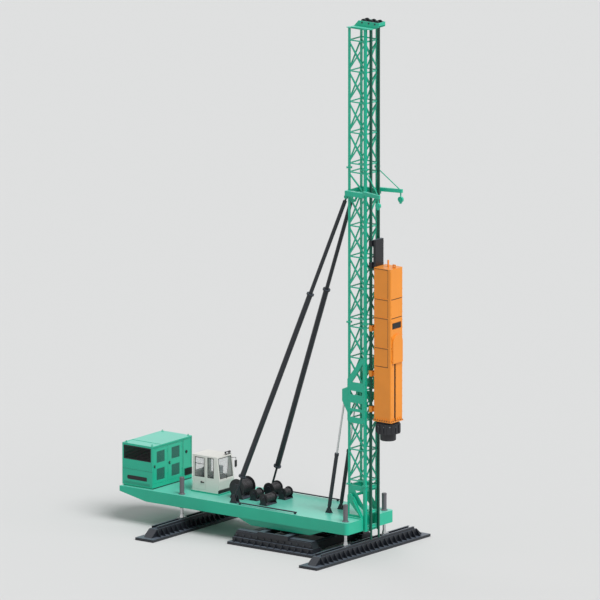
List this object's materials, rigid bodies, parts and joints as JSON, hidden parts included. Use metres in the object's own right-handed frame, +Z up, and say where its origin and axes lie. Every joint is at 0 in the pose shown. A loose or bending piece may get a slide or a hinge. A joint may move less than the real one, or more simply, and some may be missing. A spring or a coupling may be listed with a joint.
{
  "type": "walking pile driving rig",
  "caption": "Walking pile driving rig: ribbed foot pads, long platform with cab, winches and power pack, and a raked lattice mast with guide tubes carrying a hydraulic hammer.",
  "frame": {"origin": "bottom centre of the bounding box, on the ground", "axes": "+X forwards towards the hammer, +Y to the machine's left, +Z up"},
  "size_m": [15.28, 9.1, 26.11],
  "materials": {
    "green_paint": "semi-gloss",
    "slate_paint": "satin",
    "grey_paint": "satin",
    "rod_steel": "polished",
    "orange_paint": "semi-gloss",
    "frame_paint": "satin",
    "dark_cast": "matt",
    "rope_dark": "matt",
    "cab_paint": "gloss",
    "glass": "gloss",
    "trim_dark": "matt",
    "louvre_teal": "satin",
    "engine_grey": "matt"
  },
  "bodies": {
    "platform": {"platform_hull": "green_paint", "deck_edge_pipes": "slate_paint", "leg_sleeves": "grey_paint", "slew_ring": "grey_paint", "mast_hinge_brackets": "green_paint", "deck_clevises": "slate_paint", "power_pack_housing": "green_paint", "power_pack_engine": "engine_grey", "radiator_grille": "trim_dark", "cab_shell": "cab_paint", "cab_floor": "trim_dark", "cab_glazing": "glass", "cab_seat": "trim_dark", "cab_desk": "trim_dark", "winch_frames": "slate_paint"},
    "leg_front_right": {"leg_rod_front_right": "rod_steel"},
    "leg_front_left": {"leg_rod_front_left": "rod_steel"},
    "front_pad": {"front_pad": "slate_paint"},
    "leg_rear_right": {"leg_rod_rear_right": "rod_steel"},
    "leg_rear_left": {"leg_rod_rear_left": "rod_steel"},
    "rear_pad": {"rear_pad": "slate_paint"},
    "slew_carriage": {"slew_carriage": "slate_paint"},
    "centre_foot": {"centre_foot": "slate_paint"},
    "mast": {"mast_base": "green_paint", "mast_section_lower": "green_paint", "mast_section_middle": "green_paint", "mast_section_top": "green_paint", "mast_side_plates": "green_paint", "stay_collar": "green_paint", "hook_blocks": "green_paint", "mast_head": "green_paint"},
    "head_sheave_front": {"head_sheave_front": "dark_cast"},
    "head_sheave_middle": {"head_sheave_middle": "dark_cast"},
    "head_sheave_rear": {"head_sheave_rear": "dark_cast"},
    "stay_tube_right": {"stay_tube_right": "slate_paint"},
    "stay_rod_right": {"stay_rod_right": "slate_paint"},
    "erector_barrel_right": {"erector_barrel_right": "slate_paint"},
    "erector_rod_right": {"erector_rod_right": "rod_steel"},
    "stay_tube_left": {"stay_tube_left": "slate_paint"},
    "stay_rod_left": {"stay_rod_left": "slate_paint"},
    "erector_barrel_left": {"erector_barrel_left": "slate_paint"},
    "erector_rod_left": {"erector_rod_left": "rod_steel"},
    "hammer": {"hammer_housing": "orange_paint", "hammer_shoes": "orange_paint", "hammer_slide_frame": "frame_paint", "drive_cap": "dark_cast"},
    "power_pack_door_right": {"power_pack_door_right": "green_paint", "power_pack_louvres_right": "louvre_teal"},
    "power_pack_door_left": {"power_pack_door_left": "green_paint", "power_pack_louvres_left": "louvre_teal"},
    "cab_door": {"cab_door": "cab_paint", "cab_door_glass": "glass"},
    "winch_drum_main": {"winch_drum_main": "rope_dark"},
    "winch_drum_rear_left": {"winch_drum_rear_left": "rope_dark"},
    "winch_drum_rear_right": {"winch_drum_rear_right": "rope_dark"},
    "winch_drum_front_right": {"winch_drum_front_right": "rope_dark"},
    "winch_drum_front_left": {"winch_drum_front_left": "rope_dark"}
  },
  "joints": [
    {"name": "leg_front_right_lift", "type": "slide", "parent": "platform", "child": "leg_front_right", "axis": [0, 0, 1], "range_m": [-0.3, 0.3]},
    {"name": "leg_front_left_lift", "type": "slide", "parent": "platform", "child": "leg_front_left", "axis": [0, 0, 1], "range_m": [-0.3, 0.3]},
    {"name": "front_pad_shift", "type": "slide", "parent": "leg_front_right", "child": "front_pad", "axis": [0, 1, 0], "range_m": [-1.1, 1.1]},
    {"name": "leg_rear_right_lift", "type": "slide", "parent": "platform", "child": "leg_rear_right", "axis": [0, 0, 1], "range_m": [-0.3, 0.3]},
    {"name": "leg_rear_left_lift", "type": "slide", "parent": "platform", "child": "leg_rear_left", "axis": [0, 0, 1], "range_m": [-0.3, 0.3]},
    {"name": "rear_pad_shift", "type": "slide", "parent": "leg_rear_right", "child": "rear_pad", "axis": [0, 1, 0], "range_m": [-1.1, 1.1]},
    {"name": "slew_turn", "type": "hinge", "parent": "platform", "child": "slew_carriage", "pos_m": [1.89, 0, 0.86], "axis": [0, 0, 1], "range_deg": [-10, 10]},
    {"name": "centre_foot_stride", "type": "slide", "parent": "slew_carriage", "child": "centre_foot", "axis": [1, 0, 0], "range_m": [-1.2, 0.25]},
    {"name": "mast_rake", "type": "hinge", "parent": "platform", "child": "mast", "pos_m": [5.25, 0, 2.8], "axis": [0, 1, 0], "range_deg": [-5, 5]},
    {"name": "head_sheave_front_turn", "type": "hinge", "parent": "mast", "child": "head_sheave_front", "pos_m": [6.45, 0, 25.95], "axis": [0, 1, 0], "continuous": true},
    {"name": "head_sheave_middle_turn", "type": "hinge", "parent": "mast", "child": "head_sheave_middle", "pos_m": [6.09, 0, 25.95], "axis": [0, 1, 0], "continuous": true},
    {"name": "head_sheave_rear_turn", "type": "hinge", "parent": "mast", "child": "head_sheave_rear", "pos_m": [5.69, 0, 25.95], "axis": [0, 1, 0], "continuous": true},
    {"name": "stay_right_swing", "type": "hinge", "parent": "mast", "child": "stay_tube_right", "pos_m": [4.76, -0.25, 17.33], "axis": [0, 1, 0], "range_deg": [-1, 1]},
    {"name": "stay_right_extend", "type": "slide", "parent": "stay_tube_right", "child": "stay_rod_right", "axis": [-0.3523, -0.0752, -0.9328], "range_m": [-0.495, 0.495]},
    {"name": "erector_right_swing", "type": "hinge", "parent": "platform", "child": "erector_barrel_right", "pos_m": [3.88, -0.48, 1.95], "axis": [0, 1, 0], "range_deg": [-4.2, 4.2]},
    {"name": "erector_right_extend", "type": "slide", "parent": "erector_barrel_right", "child": "erector_rod_right", "axis": [0.167, 0, 0.986], "range_m": [-0.108, 0.108]},
    {"name": "stay_left_swing", "type": "hinge", "parent": "mast", "child": "stay_tube_left", "pos_m": [4.76, 0.25, 17.33], "axis": [0, 1, 0], "range_deg": [-1, 1]},
    {"name": "stay_left_extend", "type": "slide", "parent": "stay_tube_left", "child": "stay_rod_left", "axis": [-0.3523, 0.0752, -0.9328], "range_m": [-0.495, 0.495]},
    {"name": "erector_left_swing", "type": "hinge", "parent": "platform", "child": "erector_barrel_left", "pos_m": [3.88, 0.48, 1.95], "axis": [0, 1, 0], "range_deg": [-4.2, 4.2]},
    {"name": "erector_left_extend", "type": "slide", "parent": "erector_barrel_left", "child": "erector_rod_left", "axis": [0.167, 0, 0.986], "range_m": [-0.108, 0.108]},
    {"name": "hammer_travel", "type": "slide", "parent": "mast", "child": "hammer", "axis": [0, 0, 1], "range_m": [-4.8, 8.5]},
    {"name": "power_pack_door_right_swing", "type": "hinge", "parent": "platform", "child": "power_pack_door_right", "pos_m": [-5.807, -0.475, 2.88], "axis": [0, 0, 1], "range_deg": [0, 95]},
    {"name": "power_pack_door_left_swing", "type": "hinge", "parent": "platform", "child": "power_pack_door_left", "pos_m": [-5.807, 0.71, 2.88], "axis": [0, 0, 1], "range_deg": [0, 95]},
    {"name": "cab_door_swing", "type": "hinge", "parent": "platform", "child": "cab_door", "pos_m": [-4.05, -0.713, 2.72], "axis": [0, 0, -1], "range_deg": [0, 100]},
    {"name": "winch_drum_main_turn", "type": "hinge", "parent": "platform", "child": "winch_drum_main", "pos_m": [-1.43, -0.3, 2.29], "axis": [0, 1, 0], "continuous": true},
    {"name": "winch_drum_rear_left_turn", "type": "hinge", "parent": "platform", "child": "winch_drum_rear_left", "pos_m": [-0.38, 0.75, 2.165], "axis": [0, 1, 0], "continuous": true},
    {"name": "winch_drum_rear_right_turn", "type": "hinge", "parent": "platform", "child": "winch_drum_rear_right", "pos_m": [-0.53, -0.35, 2.09], "axis": [0, 1, 0], "continuous": true},
    {"name": "winch_drum_front_right_turn", "type": "hinge", "parent": "platform", "child": "winch_drum_front_right", "pos_m": [0.47, -0.775, 2.09], "axis": [0, 1, 0], "continuous": true},
    {"name": "winch_drum_front_left_turn", "type": "hinge", "parent": "platform", "child": "winch_drum_front_left", "pos_m": [0.42, 0.675, 2.09], "axis": [0, 1, 0], "continuous": true}
  ],
  "couplings": [
    {"joint": "leg_front_left_lift", "follows": "leg_front_right_lift", "ratio": 1},
    {"joint": "leg_rear_left_lift", "follows": "leg_rear_right_lift", "ratio": 1},
    {"joint": "stay_right_swing", "follows": "mast_rake", "ratio": -0.17678},
    {"joint": "stay_right_extend", "follows": "mast_rake", "m_per_rad": 5.6075},
    {"joint": "erector_right_swing", "follows": "mast_rake", "ratio": 0.81062},
    {"joint": "erector_right_extend", "follows": "mast_rake", "m_per_rad": 1.2083},
    {"joint": "stay_left_swing", "follows": "mast_rake", "ratio": -0.17678},
    {"joint": "stay_left_extend", "follows": "mast_rake", "m_per_rad": 5.6075},
    {"joint": "erector_left_swing", "follows": "mast_rake", "ratio": 0.81062},
    {"joint": "erector_left_extend", "follows": "mast_rake", "m_per_rad": 1.2083}
  ]
}
